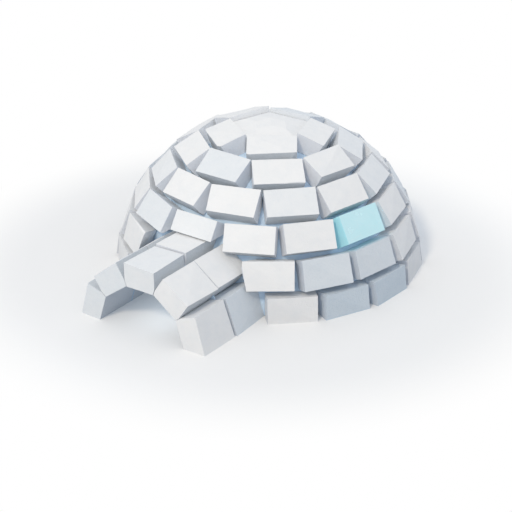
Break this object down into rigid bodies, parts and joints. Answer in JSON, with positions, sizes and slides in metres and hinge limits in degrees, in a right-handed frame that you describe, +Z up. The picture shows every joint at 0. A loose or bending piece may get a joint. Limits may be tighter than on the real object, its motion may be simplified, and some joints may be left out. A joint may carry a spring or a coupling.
{
  "type": "igloo",
  "caption": "Domed snow-block shelter in running-bond courses on a packed-snow lining, with a crown block, a clear-ice window block and a low vaulted entrance passage.",
  "frame": {"origin": "middle of the ground that the whole igloo covers, dome and entrance together, at ground level", "axes": "+Z up; the entrance faces -Y; +X is to the right of someone who stands before the entrance and looks in"},
  "size_m": [4.0425, 4.7621, 1.9147],
  "materials": {
    "block_snow": "matte",
    "crown_snow": "matte",
    "vault_snow": "matte",
    "lining_snow": "matte",
    "clear_ice": "satin"
  },
  "bodies": {
    "root": {"blocks_course_1_left": "block_snow", "blocks_course_1_right": "block_snow", "blocks_course_2_left": "block_snow", "blocks_course_2_right": "block_snow", "blocks_course_3_left": "block_snow", "blocks_course_3_right": "block_snow", "blocks_course_4_left": "block_snow", "blocks_course_4_right": "block_snow", "blocks_course_5_left": "block_snow", "blocks_course_5_right": "block_snow", "blocks_course_6_left": "block_snow", "blocks_course_6_right": "block_snow", "crown_block": "crown_snow", "ice_window": "clear_ice", "lining_course_1_left": "lining_snow", "lining_course_1_right": "lining_snow", "lining_course_2_left": "lining_snow", "lining_course_2_right": "lining_snow", "lining_course_3_left": "lining_snow", "lining_course_3_right": "lining_snow", "lining_course_4_left": "lining_snow", "lining_course_4_right": "lining_snow", "lining_course_5_left": "lining_snow", "lining_course_5_right": "lining_snow", "lining_crown": "lining_snow", "vault_front_key": "vault_snow", "vault_front_left_foot": "vault_snow", "vault_front_left_shoulder": "vault_snow", "vault_front_right_foot": "vault_snow", "vault_front_right_shoulder": "vault_snow", "vault_packing": "lining_snow", "vault_rear_key": "vault_snow", "vault_rear_left_foot": "vault_snow", "vault_rear_left_shoulder": "vault_snow", "vault_rear_right_foot": "vault_snow", "vault_rear_right_shoulder": "vault_snow"}
  },
  "joints": []
}
